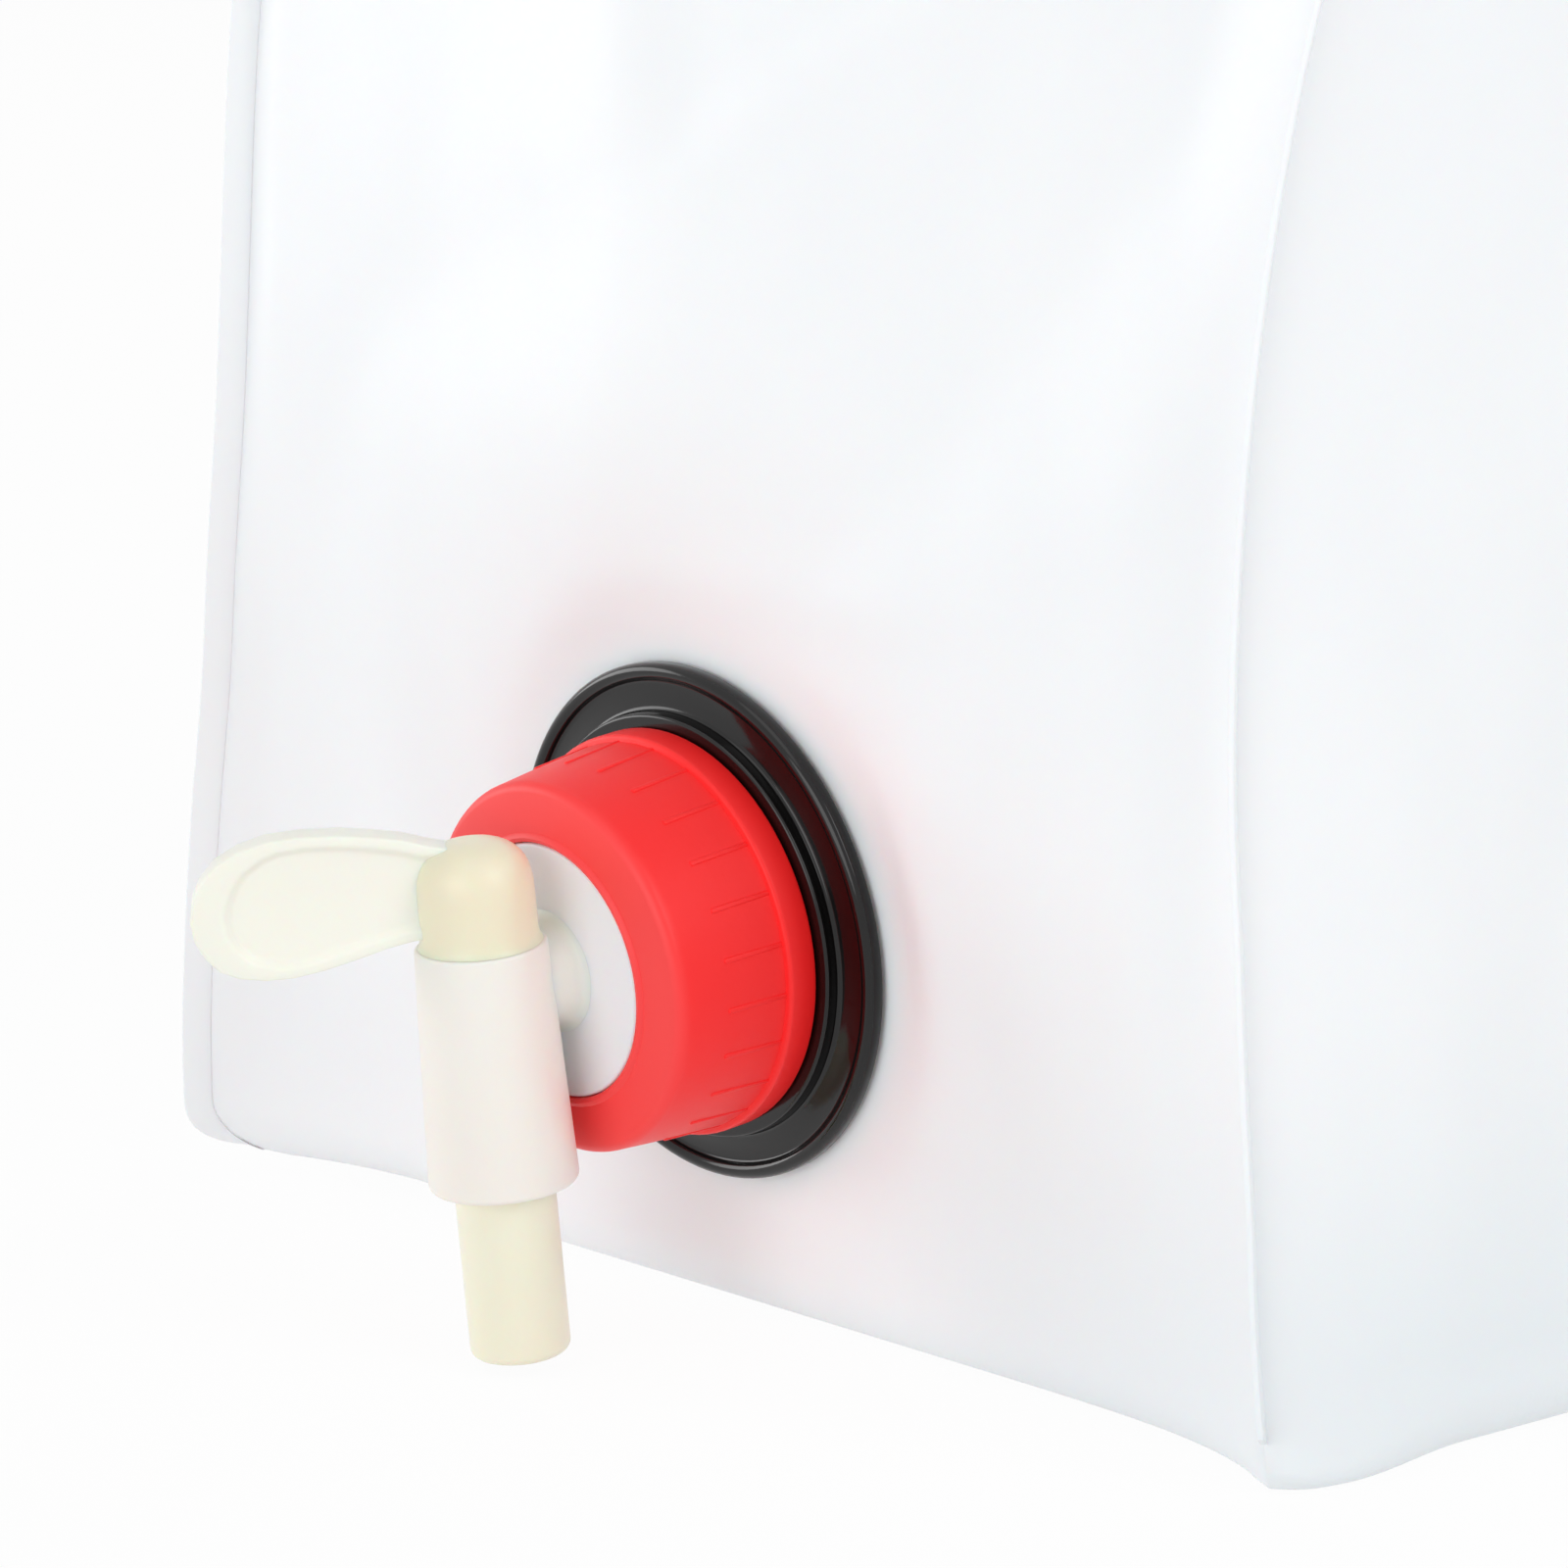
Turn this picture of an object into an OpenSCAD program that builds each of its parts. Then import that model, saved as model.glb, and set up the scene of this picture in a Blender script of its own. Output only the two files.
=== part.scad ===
// Collapsible film container for liquid detergent, with a screwed-on lever tap.
// Millimetres. +Z is up, -Y is the side that the tap stands on.
// The origin is on the floor, under the middle of the base.

/* [Body] */
// Width of the body between its corner seams
body_w = 235; // [210:1:270]
// Depth of the body at its base
body_d = 180; // [150:1:210]
// Height at which the front and back panels meet
seam_z = 360; // [320:1:400]
// How suddenly the panels lean towards the top seam
lean_power = 3.2; // [2.4:0.1:4]
// Thickness of the film
film_t = 0.5; // [0.4:0.05:0.8]
// Width of the weld fins along the corners
fin_w = 4.2; // [3:0.1:7]
// Radius of the rounded edge of the base
base_r = 10; // [7:1:14]
// Height of the lap in which the walls are welded to the base
lap_h = 6; // [4:1:10]
// Height of the flat band that is welded above the top seam
band_h = 26; // [22:1:36]
// How far the corner seams pull in at half height
corner_pull = 9; // [0:0.5:12]
// How far the front panel bulges above the mouth
front_belly = 5; // [0:0.5:8]
// How far the back panel bulges
back_belly = 8; // [0:0.5:12]
// How far the side panels bulge
side_belly = 12; // [0:0.5:14]
// How far the foot of the side panels stands out beyond the corner seams
side_foot = 5; // [0:0.5:10]

/* [Mouth] */
// Height of the middle of the mouth above the floor
mouth_z = 60.5; // [60:0.5:80]
// Distance of the mouth from the middle of the front panel
mouth_x = 0; // [-20:1:20]
// How far the middle of the mouth lies behind the corner seams
mouth_set = 2.3; // [1:0.1:4]
// Angle at which the weight of the tap tips the mouth down
mouth_droop = 6.4; // [0:0.2:8]
// Width of the clamping flange outside the collar
flange_w = 7.5; // [6:0.5:10]
// Thickness of the clamping flange at its outer bead
flange_t = 2.5; // [2:0.1:3.5]
// Radius of the bead round the clamping flange
bead_r = 1.25; // [0.8:0.05:1.6]
// How far the collar of the clamping flange stands out beyond the ring nut
collar_w = 1.8; // [0.8:0.1:3]
// Height of the collar above the back of the clamping flange
collar_h = 4.4; // [3.8:0.1:6]
// Width of the flange inside the film
inner_flange_w = 13.5; // [10.5:0.5:16]
// Thickness of the flange inside the film
inner_flange_t = 2.2; // [1.5:0.1:3]
// Thickness of the gaskets on both sides of the film
film_gasket_t = 0.8; // [0.5:0.1:1.2]
// Radius of the neck between its threads
neck_r = 22.5; // [21:0.1:24]
// Thickness of the neck's wall
neck_wall = 3; // [2.4:0.1:4]
// Length of the neck in front of the film
neck_len = 24; // [22:0.5:28]
// Advance of the thread in one turn
thread_pitch = 6; // [5:0.5:7]
// Height of the thread ridge
thread_depth = 1.3; // [1:0.1:1.5]
// Turns of the thread on the neck
thread_turns = 2; // [1.25:0.25:2]

/* [Ring nut] */
// Thickness of the ring nut at its rim
nut_rim_wall = 5.5; // [5:0.1:6.3]
// Width of the rim band
nut_rim_w = 5; // [3:0.5:7]
// Thickness of the skirt where it leaves the rim
nut_skirt_wall = 4.5; // [3.8:0.1:4.8]
// Thickness of the skirt at the front
nut_front_wall = 2.3; // [1.8:0.1:3.3]
// How far the lip at the front reaches in over the end of the neck
nut_lip_w = 3.6; // [2.5:0.1:5]
// Thickness of the lip round that opening
nut_lip_t = 1.9; // [1.5:0.1:3]
// Number of grip ribs
rib_count = 24; // [16:1:36]
// Width of a grip rib
rib_w = 0.9; // [0.6:0.1:1.5]
// Height of a grip rib
rib_h = 0.5; // [0.3:0.1:0.8]

/* [Tap] */
// Distance of the tap's upright axis from the film
tap_reach = 41.5; // [41:0.5:50]
// Thickness of the gasket on the mouth
mouth_gasket_t = 1.2; // [0.8:0.1:2]
// Thickness of the tap's mounting plate
plate_t = 2.2; // [1.6:0.1:3]
// Radius of the barrel at its top
barrel_top_r = 10; // [9.6:0.1:11]
// Radius of the barrel at its bottom
barrel_bottom_r = 10.5; // [9.8:0.1:11.2]
// Height of the barrel above the mouth's middle
barrel_above = 7.2; // [7:0.1:9]
// Length of the barrel below the mouth's middle
barrel_below = 28.3; // [24:0.1:30]
// Outer radius of the pipe between plate and barrel
pipe_r = 6.8; // [6.2:0.1:7]
// Radius of the passage through the pipe and the port
port_r = 4.4; // [3.5:0.1:4.6]

/* [Lever plug] */
// Radius of the plug in the barrel
plug_r = 7.2; // [7:0.1:7.6]
// Radius of the passage down the plug
flow_r = 4.5; // [4:0.1:4.6]
// Radius of the outlet
outlet_r = 5.4; // [5:0.1:5.8]
// Length of the nozzle below the barrel
nozzle_len = 25.4; // [18:0.2:26]
// Radius of the hub on top
hub_r = 8.1; // [7.8:0.1:9]
// Height of the hub
hub_h = 15; // [12:0.5:18]
// Reach of the lever from the axis
lever_reach = 40; // [34:0.5:50]
// Greatest height of the lever
lever_h = 21.2; // [17:0.2:22]
// Height of the lever where it leaves the hub
lever_root_h = 12; // [9:0.5:13]
// Thickness of the lever
lever_t = 5; // [4:0.5:7]
// Depth of the hollow in each face of the lever
lever_hollow = 1.2; // [0.6:0.1:1.6]
// Angle of the lever from the closed position
lever_angle = 52; // [0:1:90]
// Thickness of the o-rings
o_ring_t = 1.7; // [1.4:0.1:1.8]

/* [Handle] */
// Width of the handle
handle_w = 130; // [110:1:160]
// Thickness of each half of the handle
handle_t = 6; // [4:0.5:8]
// Height of the finger opening
grip_gap = 28; // [24:1:36]
// Height of the grip bar
grip_h = 12; // [9:0.5:16]
// Radius of the pins that join the two halves
pin_r = 2.5; // [2:0.1:3]
// Number of pins
pin_count = 4; // [2:1:5]

/* [Hidden] */
$fn = 96;

// Clearances
touch = 0.05;          // between faces that are welded or pressed together
slide_fit = 0.05;      // round the turning plug
seal_fit = 0.03;       // round the o-rings
free = 0.4;            // between pieces that pass each other freely
seat = 0.1;            // between a piece and the one that it is screwed against
nut_seat = 0.2;        // between the tightened nut and the collar

// Film
film_color = [0.93, 0.95, 0.96, 0.6];
lap_fit = 0.15;        // between the base and the walls round it
lap_z = base_r + lap_h;
half_w = body_w / 2;
half_d = body_d / 2;
seam_half = film_t + touch / 2;
fin_angle = 45;
belly_power = 0.6;
set_fade = 90;
blend_w = 60;
columns = 22;
side_columns = 12;
low_rows = 10;
high_rows = 14;
side_top = seam_z - 1.5;

// Mouth and thread, measured along the mouth's axis from the film's outer face
mouth_face = half_d - mouth_set;
neck_bore_r = neck_r - neck_wall;
nut_bore_r = neck_r + thread_depth + free;
nut_rim_r = nut_bore_r + nut_rim_wall;
nut_skirt_r = nut_bore_r + nut_skirt_wall;
nut_front_r = nut_bore_r + nut_front_wall;
nut_hole_r = neck_r - nut_lip_w;
collar_r = nut_rim_r + collar_w;
flange_r = collar_r + flange_w;
inner_flange_r = neck_r + inner_flange_w;
plate_gap = 1;
plate_r = nut_bore_r - plate_gap;
cell = 10.5;
flat_r = flange_r + cell;
flat_top = mouth_z + flat_r;
flange_back = film_gasket_t;
collar_face = flange_back + collar_h;
thread_start = collar_face + 4;
thread_root_w = 2.2;
thread_crest_w = 1.2;
thread_steps = 36;
thread_embed = 0.4;
nut_thread_turns = 1.25;
nut_back = collar_face + nut_seat;
plate_back = neck_len + mouth_gasket_t + 2 * touch;
plate_face = plate_back + plate_t;
nut_lip_back = plate_face + seat;
nut_face = nut_lip_back + nut_lip_t;
boss_r = nut_hole_r - free;
boss_face = nut_face + 0.2;

// Tap, with heights measured along its own axis from the middle of the mouth
barrel_top = barrel_above;
barrel_bottom = -barrel_below;
bore_r = plug_r + slide_fit;
hub_base = barrel_top + 0.15;
hub_top = hub_base + hub_h;
hub_round = 3;
nozzle_end = barrel_bottom - nozzle_len;
outlet_depth = nozzle_len - 2;
groove_h = o_ring_t + 0.2;
groove_r = plug_r - o_ring_t;
upper_ring_z = barrel_above - 1.6;
lower_ring_z = -9;
snap_z = barrel_bottom + 6;
snap_h = 2;
snap_depth = 0.5;
lever_rise = 8;
lever_mid = hub_base + lever_rise;
tip_long = 13.5;

// Handle
grip_side = 14;
corner_r = 6;
handle_low = seam_z + 4;
gap_low = seam_z + band_h + 2;
gap_high = gap_low + grip_gap;
handle_high = gap_high + grip_h;
pin_z = (handle_low + seam_z + band_h) / 2;
pin_span = handle_w - 2 * grip_side;

// ---------- shape of the film body ----------

// Share of the way from the lap to the top seam, 0 to 1
function rise(z) = min(1, max(0, (z - lap_z) / (seam_z - lap_z)));
// Swelling of a filled panel, none at the lap and at the seam
function swell(z) = sin(180 * pow(rise(z), belly_power));
function smooth(t) = let (u = min(1, max(0, t))) u * u * (3 - 2 * u);
// 1 over most of a panel's width, 0 at its edges; share runs from -1 to 1
function level(share) = 1 - pow(share, 6);
function half_depth(z) = half_d - (half_d - seam_half) * pow(rise(z), lean_power);
function half_width(z) = half_w - corner_pull * swell(z);
// 0 on the flat round the mouth, 1 well away from it
function off_mouth(x, z) = smooth((norm([x - mouth_x, z - mouth_z]) - flat_r) / blend_w);
// The flat round the mouth, tipped with it
function mouth_plane(z) = mouth_face + (z - mouth_z) * tan(mouth_droop);
// The foot of the front panel stands back, in line with that flat
foot_set = half_d - mouth_plane(lap_z);
function open_depth(share, z) =
    half_depth(z) - foot_set * level(share) * (1 - smooth((z - lap_z) / set_fade))
    + front_belly * swell(z) * cos(90 * share);
function front_depth(x, height) =
    let (z = max(height, lap_z), off = off_mouth(x, z))
    mouth_plane(z) * (1 - off) + open_depth(x / half_width(z), z) * off;
function back_depth(x, z) = half_depth(z) + back_belly * swell(z) * cos(90 * x / half_width(z));
function side_width(share, z) =
    half_width(z) + (side_foot * level(share) * (1 - rise(z))
                     + side_belly * swell(z) * cos(90 * share)) * half_depth(z) / half_d;
// The fins stand at 45 degrees and close flat towards the top seam
function fin_turn(z) = fin_angle * smooth((seam_z - z) / 40);

// Rows of points up a panel: close together beside the mouth, wider above it, close again at the top
wall_heights = concat(
    [base_r],
    [for (i = [0 : low_rows - 1]) lap_z + (flat_top - lap_z) * i / low_rows],
    [for (i = [0 : high_rows]) side_top - (side_top - flat_top) * pow(1 - i / high_rows, 1.5)]);
row_heights = concat(wall_heights, [seam_z, seam_z + band_h]);

// One end of a wide panel: the fin's tip and root on the outer face, then on the inner face
function wide_end(z) =
    let (t = fin_turn(z), a = half_width(z), b = half_depth(z), n = [-sin(t), -cos(t)],
         d = [cos(t), -sin(t)], root = [a - film_t, film_t - b] + n * touch / 2,
         tip = root + d * (fin_w + film_t))
    [[tip + n * film_t, [a - film_t - film_t * tan(t / 2), -b]], [tip, root]];
// One end of a side panel, in the same order
function narrow_end(z) =
    let (t = fin_turn(z), a = half_width(z), b = half_depth(z), n = [sin(t), cos(t)],
         d = [cos(t), -sin(t)], root = [a - film_t, film_t - b] + n * touch / 2,
         tip = root + d * (fin_w + film_t))
    [[tip + n * film_t, [a, film_t - b + film_t * (1 - sin(t)) / cos(t)]], [tip, root]];

function mirror_x(p, z) = [-p[0], p[1], z];
function raise(p, z) = [p[0], p[1], z];

function wide_x(i, z) = (half_width(z) - 2 * film_t) * (2 * i / columns - 1);
function side_y(i, z) = (half_depth(z) - 2 * film_t) * (2 * i / side_columns - 1);
function wide_depth(x, z, front) = front ? front_depth(x, z) : back_depth(x, z);

// A row of points across the front or back panel at height z; side 0 is outside, 1 inside
function wide_row(z, side, front) =
    let (ends = wide_end(z)[side])
    concat(
        [mirror_x(ends[0], z), mirror_x(ends[1], z)],
        [for (i = [1 : columns - 1])
            let (x = wide_x(i, z))
            [x, film_t * side - wide_depth(x, z, front), z]],
        [raise(ends[1], z), raise(ends[0], z)]);
// A row of points across the right side panel, from front to back
function side_row(z, side) =
    let (ends = narrow_end(z)[side])
    concat(
        [raise(ends[0], z), raise(ends[1], z)],
        [for (i = [1 : side_columns - 1])
            [side_width(2 * i / side_columns - 1, z) - film_t * side, side_y(i, z), z]],
        [[ends[1][0], -ends[1][1], z], [ends[0][0], -ends[0][1], z]]);

// The foot of each wall, with both ends drawn back from the corner seams
function drawn(from, to) = from + 0.75 * (to - from);
foot_corner = [half_w - film_t, half_d];
side_corner = [half_w, half_d - film_t];
function foot_points(front) =
    [for (i = [1 : columns - 1]) let (x = wide_x(i, lap_z)) [x, wide_depth(x, lap_z, front)]];
function foot_line(front) =
    let (inner = foot_points(front), last = drawn(inner[columns - 2], foot_corner))
    concat([[-last[0], last[1]]], inner, [last]);
side_points = [for (i = [1 : side_columns - 1])
    [side_width(2 * i / side_columns - 1, lap_z), side_y(i, lap_z)]];
side_last = drawn(side_points[side_columns - 2], side_corner);
side_line = concat([[side_last[0], -side_last[1]]], side_points, [side_last]);

// ---------- building blocks ----------

// Points of an arc, from one angle to another
function arc(mid, r, from, to, steps = 6) =
    [for (i = [0 : steps]) let (a = from + (to - from) * i / steps) mid + r * [cos(a), sin(a)]];
function flat_list(rows) = [for (row = rows) for (p = row) p];
function two(a, b, c, d) = [[a, b, c], [a, c, d]];

// A film between two grids of points with the same rows and columns. Its triangles are mirrored about
// the middle, so that the fins of two panels that are welded together fold alike.
module film_sheet(outer, inner, wide) {
    rows = len(outer);
    cols = len(outer[0]);
    skip = rows * cols;
    at = function(r, c) r * cols + c;
    outside = [for (r = [0 : rows - 2], c = [0 : cols - 2])
        let (a = at(r, c), b = at(r + 1, c), d = at(r + 1, c + 1), e = at(r, c + 1))
        each ((2 * c < cols - 1) == wide ? two(a, b, d, e) : two(b, d, e, a))];
    inside = [for (f = outside) [f[0] + skip, f[2] + skip, f[1] + skip]];
    low = [for (c = [0 : cols - 2]) each two(at(0, c), at(0, c + 1), at(0, c + 1) + skip, at(0, c) + skip)];
    high = [for (c = [0 : cols - 2])
        each two(at(rows - 1, c + 1), at(rows - 1, c), at(rows - 1, c) + skip, at(rows - 1, c + 1) + skip)];
    left = [for (r = [0 : rows - 2]) each two(at(r + 1, 0), at(r, 0), at(r, 0) + skip, at(r + 1, 0) + skip)];
    right = [for (r = [0 : rows - 2])
        each two(at(r, cols - 1), at(r + 1, cols - 1), at(r + 1, cols - 1) + skip, at(r, cols - 1) + skip)];
    polyhedron(
        points = concat(flat_list(outer), flat_list(inner)),
        faces = concat(outside, inside, low, high, left, right));
}

// A tray between two stacks of closed rings, open at the top
module film_tray(outer, inner) {
    rows = len(outer);
    cols = len(outer[0]);
    skip = rows * cols;
    at = function(r, c) r * cols + c % cols;
    outside = [for (r = [0 : rows - 2], c = [0 : cols - 1])
        each two(at(r, c), at(r + 1, c), at(r + 1, c + 1), at(r, c + 1))];
    inside = [for (f = outside) [f[0] + skip, f[2] + skip, f[1] + skip]];
    rim = [for (c = [0 : cols - 1])
        each two(at(rows - 1, c + 1), at(rows - 1, c), at(rows - 1, c) + skip, at(rows - 1, c + 1) + skip)];
    under = [[for (c = [0 : cols - 1]) c]];
    floor_top = [[for (c = [cols - 1 : -1 : 0]) c + skip]];
    polyhedron(
        points = concat(flat_list(outer), flat_list(inner)),
        faces = concat(outside, inside, rim, under, floor_top));
}

// A screw ridge from radius r_in to r_out, rising along the axis as it turns
module screw_ridge(r_root, r_crest, start, turns) {
    steps = round(turns * thread_steps);
    profile = [[r_root, -thread_root_w / 2], [r_crest, -thread_crest_w / 2],
               [r_crest, thread_crest_w / 2], [r_root, thread_root_w / 2]];
    points = [for (i = [0 : steps], p = profile)
        let (turn = 360 * i / thread_steps)
        [p[0] * cos(turn), p[0] * sin(turn), start + p[1] + thread_pitch * i / thread_steps]];
    walls = [for (i = [0 : steps - 1], k = [0 : 3])
        each two(4 * i + k, 4 * i + (k + 1) % 4, 4 * i + 4 + (k + 1) % 4, 4 * i + 4 + k)];
    ends = [[3, 2, 1, 0], [for (k = [0 : 3]) 4 * steps + k]];
    faces = concat(walls, ends);
    // a ridge that points inwards is mirrored, so its faces are turned round
    turned = [for (f = faces) [for (k = [len(f) - 1 : -1 : 0]) f[k]]];
    polyhedron(points = points, faces = r_crest > r_root ? faces : turned);
}

// Puts its children on the mouth's axis, with their +Z pointing out of the container
module at_mouth() {
    translate([mouth_x, -mouth_face, mouth_z]) rotate([90 + mouth_droop, 0, 0]) children();
}

// Puts its children on the tap's own axis, level with the middle of the mouth
module at_tap() {
    translate([mouth_x, -mouth_face, mouth_z]) rotate([mouth_droop, 0, 0])
        translate([0, -tap_reach, 0]) children();
}

// A flat ring from height low to height high
module ring(outer, inner, low, high) {
    translate([0, 0, low]) rotate_extrude() translate([inner, 0]) square([outer - inner, high - low]);
}

// An upright slab with rounded corners, from y = back to y = front
module slab(width, low, high, back, front, r) {
    deep = front - back;
    translate([-width / 2 + r, back, low]) cube([width - 2 * r, deep, high - low]);
    translate([-width / 2, back, low + r]) cube([width, deep, high - low - 2 * r]);
    for (x = [-1, 1], z = [low + r, high - r])
        translate([x * (width / 2 - r), front, z]) rotate([90, 0, 0]) cylinder(r = r, h = deep);
}

// Places its children once for each handle pin
module each_pin() {
    for (i = [0 : pin_count - 1])
        translate([pin_span * (i / (pin_count - 1) - 0.5), 0, pin_z]) rotate([90, 0, 0]) children();
}

// Holes in the welded band for the handle's pins
module pin_holes() {
    each_pin() translate([0, 0, -handle_t]) cylinder(r = pin_r + free, h = 2 * handle_t);
}

// ---------- film panels ----------

module wide_panel(front) {
    outer = [for (z = row_heights) wide_row(z, 0, front)];
    inner = [for (z = row_heights) wide_row(z, 1, front)];
    film_sheet(outer, inner, true);
}

module front_panel() {
    color(film_color) difference() {
        wide_panel(true);
        at_mouth() translate([0, 0, -cell]) cylinder(r = neck_r + free, h = 2 * cell);
        pin_holes();
    }
}

module back_panel() {
    color(film_color) difference() {
        rotate([0, 0, 180]) wide_panel(false);
        pin_holes();
    }
}

module side_panel() {
    outer = [for (z = wall_heights) side_row(z, 0)];
    inner = [for (z = wall_heights) side_row(z, 1)];
    film_sheet(outer, inner, false);
}

module right_side_panel() {
    color(film_color) side_panel();
}

module left_side_panel() {
    color(film_color) rotate([0, 0, 180]) side_panel();
}

// A closed ring of points along the feet of the four walls, set in from them
function tray_ring(inset, z) =
    let (gap = film_t + lap_fit + inset, narrow = 1 - inset / half_w, short = 1 - inset / half_d)
    concat(
        [for (p = foot_line(true)) [p[0] * narrow, gap - p[1], z]],
        [for (p = side_line) [p[0] - gap, p[1] * short, z]],
        [for (p = foot_line(false)) [-p[0] * narrow, p[1] - gap, z]],
        [for (p = side_line) [gap - p[0], -p[1] * short, z]]);

module bottom_panel() {
    arc_steps = 5;
    arc = [for (i = [0 : arc_steps]) 90 * i / arc_steps];
    outer = concat([for (a = arc) tray_ring(base_r * (1 - sin(a)), base_r * (1 - cos(a)))],
                   [tray_ring(0, lap_z)]);
    inner = concat([for (a = arc)
                       tray_ring(base_r - (base_r - film_t) * sin(a), base_r - (base_r - film_t) * cos(a))],
                   [tray_ring(film_t, lap_z)]);
    color(film_color) film_tray(outer, inner);
}

// ---------- mouth ----------

module spout_neck() {
    flange_face = -film_t - film_gasket_t;
    color("#161616") at_mouth() {
        ring(neck_r, neck_bore_r, flange_face - inner_flange_t, neck_len);
        ring(inner_flange_r, neck_bore_r, flange_face - inner_flange_t, flange_face);
        screw_ridge(neck_r - thread_embed, neck_r + thread_depth, thread_start, thread_turns);
    }
}

module inner_film_gasket() {
    color("#c9d2d6") at_mouth()
        ring(inner_flange_r - 1, neck_r + seat, -film_t - film_gasket_t, -film_t);
}

module outer_film_gasket() {
    color("#c9d2d6") at_mouth() ring(flange_r - 2 * bead_r, neck_r + seat, 0, film_gasket_t);
}

module outer_flange() {
    bead_mid = flange_r - bead_r;
    groove_r = flange_r - 2.4 * bead_r;
    face = flange_t - 1;
    dish = flange_t - 0.3;
    round_r = 0.6;
    color("#161616") at_mouth() translate([0, 0, flange_back]) rotate_extrude() {
        polygon(concat(
            [[neck_r + seat, 0], [bead_mid, 0], [bead_mid, face], [groove_r, face]],
            arc([collar_r + round_r, dish + round_r], round_r, 270, 180),
            arc([collar_r - round_r, collar_h - round_r], round_r, 0, 90),
            [[neck_r + seat, collar_h]]));
        translate([bead_mid, flange_t - bead_r]) circle(r = bead_r);
        translate([bead_mid, 0]) square([bead_r, flange_t - bead_r]);
    }
}

module mouth_gasket() {
    color("#d8dcdd") at_mouth()
        ring(neck_r + thread_depth / 2, neck_bore_r, neck_len + touch, neck_len + touch + mouth_gasket_t);
}

// ---------- ring nut ----------

module ring_nut() {
    rim_face = nut_back + nut_rim_w;
    rim_round = 0.5;
    front_round = 1.4;
    dome = 0.5;
    color("#e8201f") at_mouth() {
        rotate_extrude() polygon(concat(
            [[nut_bore_r, nut_back]],
            arc([nut_rim_r - rim_round, nut_back + rim_round], rim_round, 270, 360),
            arc([nut_rim_r - rim_round, rim_face - rim_round], rim_round, 0, 90),
            [[nut_skirt_r, rim_face]],
            arc([nut_front_r - front_round, nut_face - front_round - dome], front_round, 0, 85, 8),
            [[nut_hole_r, nut_face], [nut_hole_r, nut_lip_back], [nut_bore_r, nut_lip_back]]));
        for (i = [0 : rib_count - 1]) rotate([0, 0, 360 * i / rib_count]) grip_rib(rim_face);
        screw_ridge(nut_bore_r + thread_embed, neck_r + free,
                    thread_start + thread_pitch / 2, nut_thread_turns);
    }
}

// One rib that follows the taper of the skirt
module grip_rib(start) {
    front = nut_face - 2.4;
    sunk = 0.3;
    translate([0, rib_w / 2, 0]) rotate([90, 0, 0]) linear_extrude(rib_w) polygon([
        [nut_skirt_r - sunk, start - sunk], [nut_skirt_r + rib_h, start - sunk],
        [nut_front_r + rib_h, front - rib_h], [nut_front_r, front], [nut_front_r - sunk, front]]);
}

// ---------- tap ----------

module tap_body() {
    barrel_h = barrel_top - barrel_bottom;
    edge = 0.6;
    color("#f4f2ee") difference() {
        union() {
            at_mouth() {
                ring(plate_r, port_r, plate_back, plate_face);
                rotate_extrude() polygon(concat(
                    [[port_r, plate_face - touch], [boss_r, plate_face - touch]],
                    arc([boss_r - edge, boss_face - edge], edge, 0, 90),
                    [[port_r, boss_face]]));
                translate([0, 0, boss_face - touch]) cylinder(r = pipe_r, h = tap_reach - boss_face);
            }
            at_tap() rotate_extrude() polygon(concat(
                [[0, barrel_bottom]],
                arc([barrel_bottom_r - edge, barrel_bottom + edge], edge, 270, 360),
                arc([barrel_top_r - edge, barrel_top - edge], edge, 0, 90),
                [[0, barrel_top]]));
        }
        at_mouth() translate([0, 0, plate_back - 1]) cylinder(r = port_r, h = tap_reach - plate_back + 1);
        at_tap() difference() {
            translate([0, 0, barrel_bottom - 1]) cylinder(r = bore_r, h = barrel_h + 2);
            ring(bore_r + 1, bore_r - snap_depth, snap_z, snap_z + snap_h);
        }
    }
}

// Side view of the lever: straight edges that open towards a round tip
function lever_outline(rim_side, rim_tip, start) =
    let (tip_mid = lever_reach - tip_long, long = tip_long - rim_tip, high = lever_h / 2 - rim_side,
         root = lever_root_h / 2 - rim_side, steps = 24, past = 5)
    concat([[start, root]],
           [for (i = [0 : steps])
               let (a = (90 + past) * (1 - 2 * i / steps)) [tip_mid + long * cos(a), high * sin(a)]],
           [[start, -root]]);

module lever() {
    rim_side = 1.3;
    rim_tip = 4.6;
    web = lever_t - 2 * lever_hollow;
    translate([0, 0, lever_mid]) rotate([90, 0, 0]) {
        linear_extrude(web, center = true) polygon(lever_outline(0, 0, 0));
        linear_extrude(lever_t, center = true) difference() {
            polygon(lever_outline(0, 0, 0));
            polygon(lever_outline(rim_side, rim_tip, hub_r + 0.5));
        }
    }
}

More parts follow.
